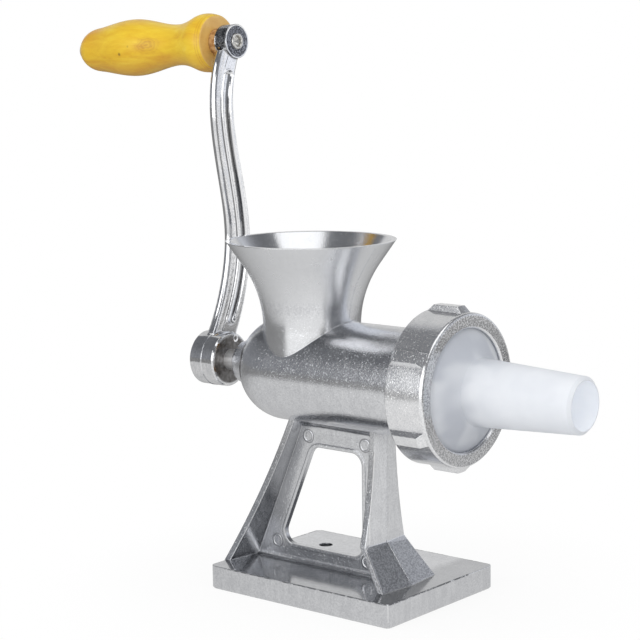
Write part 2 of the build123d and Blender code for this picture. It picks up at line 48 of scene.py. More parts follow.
# Sizes in metres that the details share
mm = 0.001
axis_y, axis_z = joints["crank_spin"]["pos_m"][1:]
base_top = 13.3 * mm
base_half_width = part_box("body_casting")[1].y
base_front_x = 62.0 * mm
base_rear_x = -65.0 * mm
hopper_x = -18.0 * mm
hopper_foot_z = 165.0 * mm
throat_foot_z = 135.0 * mm
throat_radius = 27.0 * mm
barrel_radius = 29.2 * mm
leg_front_x = 33.0 * mm
leg_top_z = 95.0 * mm
leg_kink_z = 34.8 * mm
foot_front_x = 50.0 * mm
web_face_y = axis_y - 1.1 * mm
head_start_x = 65.5 * mm
head_radius = 37.0 * mm
head_low_z = 80.0 * mm
ring_thread_end_x = 84.0 * mm
thread_pitch = 3.0 * mm
web_marks = [
    (-21.0 * mm, 86.9 * mm),
    (-45.0 * mm, 23.4 * mm),
    (19.2 * mm, 86.6 * mm),
    (19.7 * mm, 21.1 * mm),
]
web_mark_radius = 3.5 * mm
hub_radius = 15.5 * mm
eye_reach = 10.8 * mm
eye_radius = 9.6 * mm
eye_half_length = 4.4 * mm
arm_half_thickness = 4.0 * mm
groove_steepness = 2.1
groove_low_z = axis_z + 24.0 * mm
groove_high_z = axis_z + 150.0 * mm
arm_low, arm_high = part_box("crank_arm")
hub_front_x = arm_high.x
hub_middle_x = (arm_low.x + hub_front_x) / 2
grip_axis = Vector(joints["handle_spin"]["axis"])
grip_place = Vector(joints["handle_spin"]["pos_m"])

# Camera, as the photograph sees the grinder
camera_place = Vector((0.64690, -0.80333, 0.30842))
camera_right = Vector((0.76983, 0.63810, -0.01362))
camera_up = Vector((-0.08480, 0.12341, 0.98873))
focal_pixels = 1892.95
picture_pixels = 640
sensor_width = 36.0

# Studio: where its surfaces lie and how bright they are in reflections
table_reach = 0.62
table_soft_edge = 0.015
table_glow = 0.67
table_gain = 0.75
table_most = 0.9
table_bright_turn = math.radians(-39)
room_low_glow = 0.25
room_high_glow = 0.16
room_tint = (0.94, 0.97, 1.04, 1.0)
backdrop_turn = math.radians(131)
backdrop_half_turn = math.radians(34)
backdrop_low_glow = 0.70
backdrop_high_glow = 0.58
backdrop_top = 0.80
side_turn = math.radians(54)
side_half_turn = math.radians(40)
side_floor_start = 1.1
side_floor_glow = 1.0
side_wall_glow = 0.95
key_floor_turn = math.radians(-74)
key_floor_half_turn = math.radians(42)
key_floor_glow = 0.85
clear_glow = 0.95
ambient_glow = 0.64
shadow_depth = 0.12
shadow_reach = 0.20


class Socket:
    """A shader socket whose arithmetic adds Math nodes."""

    def __init__(self, tree, socket):
        self.tree = tree
        self.socket = socket

    def math(self, operation, *others):
        return self.tree.add("ShaderNodeMath", {"operation": operation}, [self, *others])

    def __add__(self, other):
        return self.math("ADD", other)

    def __sub__(self, other):
        return self.math("SUBTRACT", other)

    def __rsub__(self, other):
        return self.tree.add("ShaderNodeMath", {"operation": "SUBTRACT"}, [other, self])

    def __mul__(self, other):
        return self.math("MULTIPLY", other)

    def __truediv__(self, other):
        return self.math("DIVIDE", other)

    def __rtruediv__(self, other):
        return self.tree.add("ShaderNodeMath", {"operation": "DIVIDE"}, [other, self])

    def __pow__(self, other):
        return self.math("POWER", other)

    def __neg__(self):
        return self.math("MULTIPLY", -1.0)

    def __abs__(self):
        return self.math("ABSOLUTE")

    __radd__ = __add__
    __rmul__ = __mul__

    def band(self, low, high, start=0.0, end=1.0):
        """Maps low..high to start..end, smoothly."""
        settings = {"interpolation_type": "SMOOTHSTEP"}
        values = {"Value": self, "From Min": low, "From Max": high, "To Min": start, "To Max": end}
        return self.tree.add("ShaderNodeMapRange", settings, values)

    def above(self, level, soft):
        """0 below a level and 1 above it, with a soft edge."""
        return self.band(level - soft, level + soft)

    def near(self, place, reach):
        """1 at a value and 0 beyond a reach from it."""
        return abs(self - place).band(0.0, reach, 1.0, 0.0)

    def within(self, low, high, soft):
        """1 between two values and 0 outside them."""
        return self.above(low, soft) * (1 - self.above(high, soft))


class Tree:
    """Adds nodes to a material's or a world's node tree."""

    def __init__(self, owner):
        owner.use_nodes = True
        self.tree = owner.node_tree
        self.tree.nodes.clear()

    def node(self, kind, settings=None, values=None):
        node = self.tree.nodes.new(kind)
        for name, value in (settings or {}).items():
            if name == "stops":
                self.set_stops(node.color_ramp, value)
            else:
                setattr(node, name, value)
        values = values or {}
        items = values.items() if isinstance(values, dict) else enumerate(values)
        for name, value in items:
            socket = self.find(node.inputs, name)
            if isinstance(value, Socket):
                self.tree.links.new(value.socket, socket)
            else:
                socket.default_value = value
        return node

    @staticmethod
    def find(sockets, name):
        """A socket by its place or its name, passing over the ones that are switched off."""
        if isinstance(name, int):
            return [socket for socket in sockets if socket.enabled][name]
        return [socket for socket in sockets if socket.enabled and socket.name == name][0]

    @staticmethod
    def set_stops(ramp, stops):
        for _ in stops[2:]:
            ramp.elements.new(0.5)
        for element, (place, colour) in zip(ramp.elements, stops):
            element.position = place
            element.color = colour

    def add(self, kind, settings=None, values=None, out=0):
        return Socket(self, self.find(self.node(kind, settings, values).outputs, out))

    def outputs(self, kind, values=None, names=None):
        """All outputs of a node, or the named ones."""
        found = self.node(kind, values=values).outputs
        return [Socket(self, found[name]) for name in names or range(len(found))]

    def place(self):
        """The place on the object, in metres: as a vector and as x, y and z."""
        place = self.add("ShaderNodeTexCoord", out="Object")
        return place, *self.outputs("ShaderNodeSeparateXYZ", [place])

    def facing(self):
        """The direction in which the object's surface faces, as x, y and z."""
        return self.outputs("ShaderNodeSeparateXYZ", [self.add("ShaderNodeTexCoord", out="Normal")])

    def light_path(self):
        """Whether a ray comes from the camera, from a reflection or through a clear piece."""
        names = ["Is Camera Ray", "Is Glossy Ray", "Is Transmission Ray"]
        return self.outputs("ShaderNodeLightPath", names=names)

    def noise(self, place, size, detail=2.0, roughness=0.5, distortion=0.0):
        """Soft noise whose lumps have about the given size in metres."""
        values = {
            "Vector": place,
            "Scale": 1.0 / size,
            "Detail": detail,
            "Roughness": roughness,
            "Distortion": distortion,
        }
        return self.add("ShaderNodeTexNoise", values=values)

    def shifted(self, place, origin):
        """The place as seen from another origin."""
        return self.add("ShaderNodeVectorMath", {"operation": "SUBTRACT"}, [place, origin])

    def stretched(self, place, x=1.0, y=1.0, z=1.0):
        """The place with its axes stretched, for streaks and grain."""
        return self.add("ShaderNodeVectorMath", {"operation": "MULTIPLY"}, [place, (x, y, z)])

    def distance(self, place, point, x=1.0):
        """Distance to a point, with the distance along x counted by a share."""
        away = self.stretched(self.shifted(place, point), x)
        return self.add("ShaderNodeVectorMath", {"operation": "LENGTH"}, [away], out="Value")

    def along(self, place, origin, axis):
        """Distance along an axis from an origin."""
        settings = {"operation": "DOT_PRODUCT"}
        return self.add("ShaderNodeVectorMath", settings, [self.shifted(place, origin), axis], out="Value")

    def heading(self, x, y, turn):
        """1 in a horizontal direction given by its turn about z, falling to -1 in the opposite one."""
        return (x * math.cos(turn) + y * math.sin(turn)) / (x * x + y * y) ** 0.5

    def radius(self, y, z):
        """Distance from the barrel's axis."""
        return ((y - axis_y) ** 2 + (z - axis_z) ** 2) ** 0.5

    def corner(self, reach):
        """1 deep in a corner of the object and 0 on an open surface; the materials use it to paint shade into
        corners.
        """
        settings = {"samples": 6, "only_local": True}
        return 1 - self.add("ShaderNodeAmbientOcclusion", settings, {"Distance": reach}, out="AO")

    def blend(self, share, first, second):
        """Colour between two colours."""
        values = {"Factor": share, "A": first, "B": second}
        return self.add("ShaderNodeMix", {"data_type": "RGBA"}, values, out="Result")

    def tint(self, share, stops):
        """Colour from a ramp."""
        return self.add("ShaderNodeValToRGB", {"stops": stops}, [share])

    def thread(self, x, y, z):
        """Height of a screw thread about the barrel's axis."""
        turn = (z - axis_z).math("ARCTAN2", y - axis_y) / math.tau
        return abs((x / thread_pitch + turn).math("FRACT") * 2 - 1)

    def bump(self, height, depth, edge=0.0):
        """Normal with rounded edges, and with a relief whose height of 1 stands for a depth in metres."""
        values = {"Height": height, "Distance": depth}
        if edge:
            values["Normal"] = self.add("ShaderNodeBevel", {"samples": 6}, {"Radius": edge})
        return self.add("ShaderNodeBump", values=values)

    def finish(self, shader, kind="ShaderNodeOutputMaterial"):
        self.node(kind, values={"Surface": shader})


def rgb(red, green, blue):
    """Colour from the red, green and blue that a screen shows, 0 to 255."""
    def linear(value):
        share = value / 255
        return share / 12.92 if share <= 0.04045 else ((share + 0.055) / 1.055) ** 2.4

    return (linear(red), linear(green), linear(blue), 1.0)


def arm_row(side, height):
    """(sideways place, depth below the flat face) across the arm's front or rear side at a height."""
    step = 0.25 * mm
    outward = Vector((side, 0, 0))
    row = []
    for index in range(int((arm_high.y - arm_low.y) / step)):
        column = arm_low.y + index * step
        start = Vector((hub_middle_x + side * 30 * mm, column, height))
        found, place, *_ = nodes["crank_arm"].ray_cast(start, -outward)
        if found:
            row.append((column, arm_half_thickness - side * (place.x - hub_middle_x)))
    return row


def groove_ends(side, height):
    """(sideways place, depth) just inside both edges of the arm's groove at a height, or None without one."""
    flat_limit = 0.03 * mm
    row = arm_row(side, height)
    level = [index for index, (column, depth) in enumerate(row) if abs(depth) < flat_limit]
    if not level:
        return None
    sunk = [(column, depth) for column, depth in row[level[0] : level[-1]] if depth > flat_limit]
    return (sunk[0], sunk[-1]) if sunk else None


def groove_middle_line():
    """The S-shaped groove's middle line: factors, highest first, of the powers of the height above the axis.

    They give the sideways place in mm from the height in 100 mm.
    """
    rises = [0.22 + 0.02 * step for step in range(70)]
    rows = [groove_ends(1, axis_z + rise * 100 * mm) for rise in rises]
    middles = [((first + last) / 2 - axis_y) / mm for (first, _), (last, _) in rows]
    return [float(factor) for factor in numpy.polyfit(rises, middles, 5)]


def coat(name, *pieces):
    """Decorator: builds a material with a function and puts it on CAD nodes."""

    def build(paint):
        material = bpy.data.materials.new(name)
        tree = Tree(material)
        tree.finish(tree.add("ShaderNodeBsdfPrincipled", values=paint(tree)))
        for piece in pieces:
            dress(nodes[piece], material)
        return material

    return build


def dress(piece, material):
    piece.data.materials.clear()
    piece.data.materials.append(material)


@coat("cast_aluminium", "body_casting")
def cast_aluminium(tree):
    place, x, y, z = tree.place()
    out_x, _, out_z = tree.facing()
    specks = tree.noise(place, 0.9 * mm, 1.0)
    fine = tree.noise(place, 0.4 * mm, 1.0)
    mottle = tree.noise(place, 8 * mm, 4.0, 0.6)
    smear = tree.noise(tree.stretched(place, 1.0, 1.0, 0.15), 2.5 * mm, 3.0)
    dents = specks.above(0.70, 0.05)
    wall = 1 - z.above(base_top - 0.3 * mm, 0.3 * mm)
    from_hopper = ((x - hopper_x) ** 2 + (y - axis_y) ** 2) ** 0.5
    throat = z.above(throat_foot_z, 4 * mm) * (1 - from_hopper.above(throat_radius + 0.6 * mm, 0.5 * mm))
    hopper = z.above(hopper_foot_z, 3 * mm).math("MAXIMUM", throat)
    bowl = hopper * out_z.above(0.2, 0.1)
    deck = out_z.above(0.9, 0.05) * z.near(base_top, 1 * mm)
    kick = x.above(leg_front_x + 0.4 * mm, 0.3 * mm) * z.within(base_top + 0.5 * mm, leg_kink_z, 0.5 * mm)
    base_middle_x = (base_front_x + base_rear_x) / 2
    lengthways = abs(x - base_middle_x) / (base_front_x - base_middle_x)
    border = (abs(y) / base_half_width).math("MAXIMUM", lengthways)
    torn = tree.noise(place, 2 * mm, 3.0, 0.7).above(0.44, 0.05)
    patches = tree.noise(place, 22 * mm).above(0.40, 0.05)
    top_edge = z.within(base_top - 0.6 * mm, base_top + 0.4 * mm, 0.12 * mm)
    flash = border.above(0.988, 0.004) * top_edge * torn * patches
    head = x.above(head_start_x + 0.5 * mm, 0.2 * mm) * z.above(head_low_z, 1 * mm)
    tone = (0.30 * mottle + 0.45 * specks + 0.25 * smear).band(0.32, 0.68)
    skin = tree.blend(tone, rgb(216, 217, 220), rgb(240, 241, 243))
    clean = tree.blend(0.75 * hopper, skin, rgb(234, 235, 237))
    # Painted shade: a dark ring round each ejector mark, where shade falls at the pad's edge.
    from_marks = [tree.distance(place, (mark_x, web_face_y, mark_z)) for mark_x, mark_z in web_marks]
    rings = sum(from_mark.near(web_mark_radius + 0.3 * mm, 0.5 * mm) for from_mark in from_marks)
    legs = z.within(base_top + 1 * mm, leg_top_z, 1 * mm)
    # Painted shade on the rear leg's forward-facing inner face.
    rear_leg_shade = (1 - x.above(-25 * mm, 5 * mm)) * out_x.above(0.3, 0.2) * legs
    # Painted shade on the front-left part of the deck, standing in for the dark that it reflects.
    shaded_deck = deck * (1 - y.above(0, 4 * mm) * (1 - x.above(40 * mm, 4 * mm)))
    speckle = kick * specks.band(0.40, 0.58, 1.0, 0.0)
    # Painted shade on the barrel's upper shoulders beside the hopper, dimming the light that they reflect.
    shoulder_shade = out_z.within(0.62, 0.88, 0.06) * z.above(axis_z, 1 * mm) * (1 - hopper)
    # Painted shade on the deck, the shoulders and the base walls; the kick gets a darker speckled tone of its
    # own.
    shade_and_kick_tone = 0.25 * shaded_deck + 0.20 * kick + 0.25 * speckle + 0.10 * wall + 0.4 * shoulder_shade
    # Painted shade in the casting's corners and creases, from ambient occlusion.
    corners = 0.28 * tree.corner(4 * mm) + 0.06 * tree.corner(16 * mm)
    # Colour of the painted shade, and of the dark flash along the base's top edges.
    shade_and_flash_colour = rgb(60, 62, 68)
    shaded_metal = tree.blend(0.5 * rings + 0.4 * rear_leg_shade + shade_and_kick_tone + corners, clean, shade_and_flash_colour)
    even = (1 - 0.5 * hopper) * (1 - 0.6 * deck) * (1 - 0.7 * wall)
    height = (0.042 * specks + 0.02 * fine - 0.05 * dents) * even + 0.01 * smear
    satin = 0.14 + 0.10 * mottle + 0.07 * (hopper - bowl) - 0.06 * throat
    return {
        "Base Color": tree.blend(0.7 * flash, shaded_metal, shade_and_flash_colour),
        "Metallic": 1.0,
        "Roughness": satin + 0.10 * kick - 0.08 * deck + 0.3 * flash,
        "Normal": tree.bump(height + 0.9 * head * tree.thread(x, y, z), 1 * mm, 0.8 * mm),
    }


@coat("ring_aluminium", "ring_nut", "feed_screw")
def ring_aluminium(tree):
    place, x, y, z = tree.place()
    out_x = tree.facing()[0]
    specks = tree.noise(place, 0.9 * mm, 1.0)
    fine = tree.noise(place, 0.4 * mm, 1.0)
    mottle = tree.noise(place, 7 * mm, 4.0, 0.6)
    dents = specks.above(0.68, 0.05)
    inner_wall = tree.radius(y, z).near(head_radius + 0.3 * mm, 0.25 * mm)
    bore = inner_wall * (1 - x.above(ring_thread_end_x, 0.3 * mm))
    tone = (0.4 * mottle + 0.6 * specks).band(0.32, 0.68)
    height = 0.015 * specks + 0.010 * fine - 0.05 * dents
    skin = tree.blend(tone, rgb(232, 233, 235), rgb(252, 252, 253))
    front = out_x.above(0.9, 0.05)
    # Painted shade: darker in the ring's corners and over its front face, with specks in that shade.
    painted_shade = 0.6 * tree.corner(2 * mm) + front * specks.band(0.40, 0.60, 0.55, 0.25)
    return {
        "Base Color": tree.blend(painted_shade, skin, rgb(40, 42, 48)),
        "Metallic": 0.93,
        "Roughness": 0.13 + 0.10 * mottle,
        "Normal": tree.bump(height + 0.9 * bore * tree.thread(x, y, z), 1 * mm, 0.5 * mm),
    }


@coat("polished_aluminium", "crank_arm")
def polished_aluminium(tree):
    place, x, y, z = tree.place()
    out_x = tree.facing()[0]
    waves = tree.noise(place, 2.2 * mm, 2.0)
    pits = tree.noise(place, 0.8 * mm, 1.0)
    fine_pits = tree.noise(place, 0.6 * mm, 1.0)
    mottle = tree.noise(place, 8 * mm, 3.0)
    eye = 1 - tree.distance(place, grip_place).above(eye_reach, 0.6 * mm)
    hub = 1 - tree.radius(y, z).above(hub_radius + 0.5 * mm, 0.4 * mm)
    arm = 1 - eye.math("MAXIMUM", hub)
    rise = (z - axis_z) / (100 * mm)
    middle = 0.0
    for factor in groove_middle_line():
        middle = middle * rise + factor
    from_middle = y - axis_y - middle * mm
    beside_groove = abs(from_middle).above(4.4 * mm, 0.3 * mm)
    grooved = z.within(groove_low_z, groove_high_z, 2 * mm) * x.above(hub_middle_x, 1 * mm)
    # Painted shade: dark strips beside the groove's edges, standing in for the dark that they reflect, and
    # darker in the crank's corners.
    shaded_lip = from_middle.within(-5.3 * mm, -3.3 * mm, 0.4 * mm) * (0.55 + 0.4 * pits)
    shaded_wall = from_middle.within(2.0 * mm, 3.3 * mm, 0.4 * mm) * (0.60 + 0.4 * pits)
    painted_shade = 0.7 * tree.corner(3 * mm) + grooved * (shaded_lip + shaded_wall)
    rounded_side = 0.16 * arm * beside_groove * (16 - ((x - hub_middle_x) / mm + 1.6) ** 2)
    edge = 0.6 * mm + 1.4 * mm * arm * beside_groove
    height = 0.018 * waves + 0.015 * pits + 0.010 * eye * fine_pits + rounded_side
    # Painted shade on the hub's front face round the shank, which is also made rougher there.
    shaded_face_radius = 13.6 * mm
    shaded_hub_face = x.near(hub_front_x, 0.25 * mm) * (1 - tree.radius(y, z).above(shaded_face_radius, 0.6 * mm))
    shine = (0.5 * mottle + 0.5 * pits).band(0.40, 0.60)
    polished = tree.blend(shine, rgb(224, 225, 227), rgb(246, 246, 247))
    # Painted shade: the eye's forward face is darker than its side; the dark pits are the metal's own.
    eye_metal_shaded_on_face = tree.blend(out_x.above(0.9, 0.05), rgb(240, 241, 243), rgb(160, 162, 168))
    pitted = tree.blend(fine_pits.band(0.42, 0.66), rgb(60, 61, 65), eye_metal_shaded_on_face)
    shaded_metal = tree.blend(painted_shade, tree.blend(eye, polished, pitted), rgb(60, 60, 62))
    return {
        "Base Color": tree.blend(shaded_hub_face * (0.60 + 0.4 * waves), shaded_metal, rgb(62, 56, 50)),
        "Metallic": 1.0,
        "Roughness": 0.05 + 0.06 * mottle + 0.07 * eye + 0.2 * shaded_hub_face,
        "Normal": tree.bump(height, 1 * mm, edge),
    }


@coat("polished_edge")
def polished_edge(tree):
    place = tree.place()[0]
    pits = tree.noise(place, 0.8 * mm, 1.0)
    return {
        "Base Color": tree.blend(pits, rgb(228, 229, 231), rgb(248, 248, 249)),
        "Metallic": 1.0,
        "Roughness": 0.10 + 0.08 * pits,
        "Normal": tree.bump(pits, 0.02 * mm),
    }


plated_pieces = ["handle_spindle", "handle_end_washer", "crank_bolt", "crank_washer", "crank_lock_washer"]
steel_pieces = ["drive_shank", "knife_stud", "knife", "hole_plate", "plate_key"]


@coat("plated_steel", *plated_pieces)
def plated_steel(tree):
    place = tree.place()[0]
    scuff = tree.noise(place, 1.5 * mm, 3.0)
    return {
        "Base Color": tree.blend(scuff, rgb(208, 206, 200), rgb(232, 231, 228)),
        "Metallic": 1.0,
        "Roughness": 0.22 + 0.14 * scuff,
        "Normal": tree.bump(scuff, 0.03 * mm, 0.25 * mm),
    }


@coat("machined_steel", *steel_pieces)
def machined_steel(tree):
    place = tree.place()[0]
    rings = tree.noise(tree.stretched(place, 1.0, 0.1, 0.1), 0.4 * mm, 3.0)
    mottle = tree.noise(place, 5 * mm, 3.0)
    return {
        "Base Color": tree.blend(mottle, rgb(222, 222, 222), rgb(244, 244, 245)),
        "Metallic": 0.8,
        "Roughness": 0.28 + 0.15 * rings,
        "Normal": tree.bump(rings, 0.02 * mm, 0.25 * mm),
    }


@coat("sintered_bronze", "rear_bushing")
def sintered_bronze(tree):
    place = tree.place()[0]
    pores = tree.noise(place, 0.5 * mm, 3.0)
    return {
        "Base Color": tree.blend(pores, rgb(160, 118, 66), rgb(196, 152, 92)),
        "Metallic": 1.0,
        "Roughness": 0.32 + 0.15 * pores,
        "Normal": tree.bump(pores, 0.02 * mm),
    }


@coat("copper_ferrule", "handle_spacer")
def copper_ferrule(tree):
    place = tree.place()[0]
    stain = tree.noise(place, 2.5 * mm, 4.0)
    return {
        "Base Color": tree.blend(stain.band(0.35, 0.65), rgb(168, 122, 74), rgb(214, 176, 124)),
        "Metallic": 0.4,
        "Roughness": 0.40 + 0.2 * stain,
        "Normal": tree.bump(stain, 0.04 * mm, 0.3 * mm),
    }


@coat("frosted_plastic", "stuffing_tube")
def frosted_plastic(tree):
    place, x, y, z = tree.place()
    out_y, out_z = tree.facing()[1:]
    cloud = tree.noise(place, 14 * mm, 3.0)
    frost = tree.noise(place, 0.4 * mm, 2.0)
    patches = tree.noise(place, 17 * mm, 1.0, 0.4, 0.3)
    # Painted shade: grey patches and a darker cone where the ring lies behind the clear plastic.
    patchy_shade = patches.band(0.36, 0.66) * x.band(92 * mm, 126 * mm, 1.0, 0.0)
    cone = x.band(90 * mm, 106 * mm, 1.0, 0.0)
    clear = tree.blend(cloud, rgb(222, 225, 230), rgb(238, 240, 243))
    shaded = tree.blend(0.17 * cone + 0.30 * patchy_shade, clear, rgb(150, 157, 172))
    # Painted glow: the whole tube emits some of its colour, more on its bore, as if light passed through the
    # plastic.
    inward = (out_y * (axis_y - y) + out_z * (axis_z - z)) / tree.radius(y, z)
    bore = inward.above(0.3, 0.2) * x.above(100 * mm, 8 * mm)
    return {
        "Base Color": shaded,
        "Roughness": 0.42 + 0.12 * frost,
        "Transmission Weight": 0.25,
        "IOR": 1.4,
        "Emission Color": tree.blend(0.23 + 0.40 * bore, (0, 0, 0, 1), shaded),
        "Emission Strength": 0.30,
        "Normal": tree.bump(frost, 0.01 * mm),
    }


@coat("moulded_nylon", "thrust_washer")
def moulded_nylon(tree):
    place = tree.place()[0]
    cloud = tree.noise(place, 3 * mm, 3.0)
    return {
        "Base Color": tree.blend(cloud, rgb(226, 222, 208), rgb(238, 236, 226)),
        "Roughness": 0.42 + 0.15 * cloud,
        "Normal": tree.bump(cloud, 0.02 * mm),
    }


@coat("varnished_wood", "handle_grip")
def varnished_wood(tree):
    place, x, _, z = tree.place()
    out_x, _, out_z = tree.facing()
    along = tree.along(place, grip_place, grip_axis)
    figure = tree.noise(tree.stretched(place, 0.22, 1.0, 1.0), 7 * mm, 5.0, 0.6, 0.6)
    fibre = tree.noise(tree.stretched(place, 0.10, 1.0, 1.0), 0.8 * mm, 3.0)
    knot_place = (-142.6 * mm, -9.5 * mm, 304.0 * mm)
    warped = tree.distance(place, knot_place, 0.6) + 7 * mm * (figure - 0.5)
    knot = warped.band(1 * mm, 7 * mm, 1.0, 0.0)
    rings = (warped * (math.tau / (1.5 * mm))).math("SINE") * 0.5 + 0.5
    yellows = [
        (0.25, rgb(216, 158, 20)),
        (0.45, rgb(233, 190, 34)),
        (0.60, rgb(241, 205, 46)),
        (0.80, rgb(247, 220, 88)),
    ]
    yellow = tree.tint(figure, yellows)
    tip = (1 - x.above(-185 * mm, 14 * mm)) * z.above(305 * mm, 7 * mm)
    # Darker orange towards the tip; the darker underside is painted shade.
    shaded_underside = (-out_z).above(0.60, 0.35)
    tip_and_underside_darkened = tree.blend(0.55 * tip + 0.40 * shaded_underside, yellow, rgb(206, 124, 22))
    knotted = tree.blend(knot * (0.20 + 0.30 * rings), tip_and_underside_darkened, rgb(176, 108, 20))
    large_dot = tree.distance(place, (-163.2 * mm, -11.9 * mm, 298.4 * mm)).band(0.3 * mm, 1.5 * mm, 1.0, 0.0)
    small_dot = tree.distance(place, (-156.3 * mm, -11.9 * mm, 303.0 * mm)).band(0.2 * mm, 1.1 * mm, 0.6, 0.0)
    dotted = tree.blend(0.7 * (large_dot + small_dot), knotted, rgb(96, 62, 16))
    waves = (along * (math.tau / (1.4 * mm))).math("SINE") * 0.5 + 0.5
    lathe_lines = waves * along.within(-14 * mm, -11.6 * mm, 0.6 * mm)
    turned = tree.blend(0.28 * lathe_lines + 0.18 * fibre, dotted, rgb(176, 112, 18))
    face = out_x.above(0.8, 0.12)
    return {
        "Base Color": tree.blend(face, turned, tree.blend(figure, rgb(214, 160, 74), rgb(244, 206, 124))),
        "Roughness": 0.36 + 0.12 * fibre,
        "Coat Weight": 0.35,
        "Coat Roughness": 0.22,
        "Normal": tree.bump(fibre - 0.6 * lathe_lines, 0.03 * mm, 0.5 * mm),
    }


def add_piece(name, shape, body, material):
    """Puts a small piece on a body."""
    bmesh.ops.recalc_face_normals(shape, faces=shape.faces)
    mesh = bpy.data.meshes.new(name)
    shape.to_mesh(mesh)
    shape.free()
    piece = bpy.data.objects.new(name, mesh)
    bpy.context.scene.collection.objects.link(piece)
    dress(piece, material)
    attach(piece, body)


def strip(shape, rows, closed):
    """Joins rows of corners into a closed band."""
    made = [[shape.verts.new(corner) for corner in row] for row in rows]
    pairs = list(zip(made, made[1:]))
    if closed:
        pairs.append((made[-1], made[0]))
    else:
        shape.faces.new(made[0])
        shape.faces.new(made[-1])
    for first, second in pairs:
        for index in range(len(first)):
            after = (index + 1) % len(first)
            shape.faces.new((first[index], first[after], second[after], second[index]))


def ridge(name, line, closed, width, height, body, slot, material):
    """Thin raised line along a list of (place, outward direction) on a surface."""
    rows = []
    for index, (place, outward) in enumerate(line):
        before = line[index - 1][0] if index or closed else place
        after = line[(index + 1) % len(line)][0] if closed or index + 1 < len(line) else place
        side = (after - before).cross(outward).normalized() * width
        rows.append(
            [
                place - side / 2 - outward * height,
                place - side / 5 + outward * height,
                place + side / 5 + outward * height,
                place + side / 2 - outward * height,
            ]
        )
    shape = bmesh.new()
    strip(shape, rows, closed)
    add_piece(name, shape, body, material)


def circle(middle, axis, radius, count=64):
    """(place, outward direction) round a circle."""
    first = axis.orthogonal().normalized()
    second = axis.cross(first).normalized()
    line = []
    for index in range(count):
        angle = math.tau * index / count
        outward = math.cos(angle) * first + math.sin(angle) * second
        line.append((middle + radius * outward, outward))
    return line


def ejector_mark(name, middle, axis, radius, height, body, slot, material):
    """Low round pad that an ejector pin leaves on a casting."""
    rows = []
    for place, outward in circle(middle, axis, 1.0, 40):
        centre = place - outward
        rows.append(
            [
                centre + outward * radius - axis * height,
                centre + outward * radius + axis * height * 0.6,
                centre + outward * (radius - height) + axis * height,
                centre + outward * (radius - 4 * height) + axis * height * 0.7,
                centre + outward * (radius - 5 * height) - axis * height,
            ]
        )
    shape = bmesh.new()
    strip(shape, rows, True)
    add_piece(name, shape, body, material)


def cup(name, middle, axis, radius, depth, body, slot, material):
    """Conical bottom of a blind hole."""
    shape = bmesh.new()
    rim = [shape.verts.new(place) for place, outward in circle(middle, axis, radius, 32)]
    tip = shape.verts.new(middle - axis * depth)
    back = shape.verts.new(middle - axis * depth * 1.3)
    for first, second in zip(rim, rim[1:] + rim[:1]):
        shape.faces.new((first, second, tip))
        shape.faces.new((second, first, back))
    add_piece(name, shape, body, material)


def on_surface(node, start, direction):
    """Place and outward direction where a line from a start meets a CAD node."""
    _, place, outward, _ = nodes[node].ray_cast(start, direction)
    return place, outward


def groove_outline(side):
    """Edge of the groove in the arm's front or rear face, found by looking at that face row by row."""
    outward = Vector((side, 0, 0))
    face_x = hub_middle_x + side * arm_half_thickness
    left, right = [], []
    for step in range(320):
        height = axis_z + (18 + 0.5 * step) * mm
        ends = groove_ends(side, height)
        if ends:
            (first, first_depth), (last, last_depth) = ends
            left.append(Vector((face_x, first - first_depth / groove_steepness, height)))
            right.append(Vector((face_x, last + last_depth / groove_steepness, height)))
    line = left + right[::-1]
    around = [[line[(index + step) % len(line)] for step in range(-2, 3)] for index in range(len(line))]
    return [(sum(places, Vector((0, 0, 0))) / len(places), outward) for places in around]


def seam_place(turn):
    """Place and outward direction on the seam where the hopper stands on the barrel."""
    from_axis = Vector((math.cos(turn), math.sin(turn), 0))
    radius = throat_radius
    for _ in range(3):
        sideways = radius * from_axis.y
        rise = math.sqrt(barrel_radius ** 2 - sideways ** 2)
        middle = Vector((hopper_x, axis_y, axis_z + rise + 0.3 * mm))
        wall = on_surface("body_casting", middle + from_axis * 60 * mm, -from_axis)[0]
        radius = (wall - middle).length
    outward = (from_axis + Vector((0, sideways, rise)).normalized()).normalized()
    return on_surface("body_casting", wall + outward * 3 * mm, -outward)


def leg_edge():
    """Near edge of the front leg and its foot, found by looking at them from the front, row by row."""
    forward = Vector((1, 0, 0))
    places = []
    for row in range(36):
        height = base_top + (2.5 + 2 * row) * mm
        for column in range(300):
            start = Vector((base_front_x, axis_y - (30 - 0.1 * column) * mm, height))
            found, place, *_ = nodes["body_casting"].ray_cast(start, -forward)
            if found and place.x > leg_front_x - 1.2 * mm:
                places.append(place)
                break
    return places


def worn_edges():
    """Edges that handling has rubbed bright."""
    bright = ("casting", "cast_aluminium", polished_edge)
    outward = Vector((1, -1, 0)).normalized()
    ridge("leg_worn_edge", [(place, outward) for place in leg_edge()], False, 1.0 * mm, 0.2 * mm, *bright)
    corner = Vector((base_front_x, -base_half_width, 0)) + outward * 10 * mm
    ends = [corner + Vector((0, 0, height)) for height in (0.8 * mm, base_top - 0.9 * mm)]
    base_corner = [on_surface("body_casting", end, -outward) for end in ends]
    ridge("base_worn_corner", base_corner, False, 1.2 * mm, 0.2 * mm, *bright)


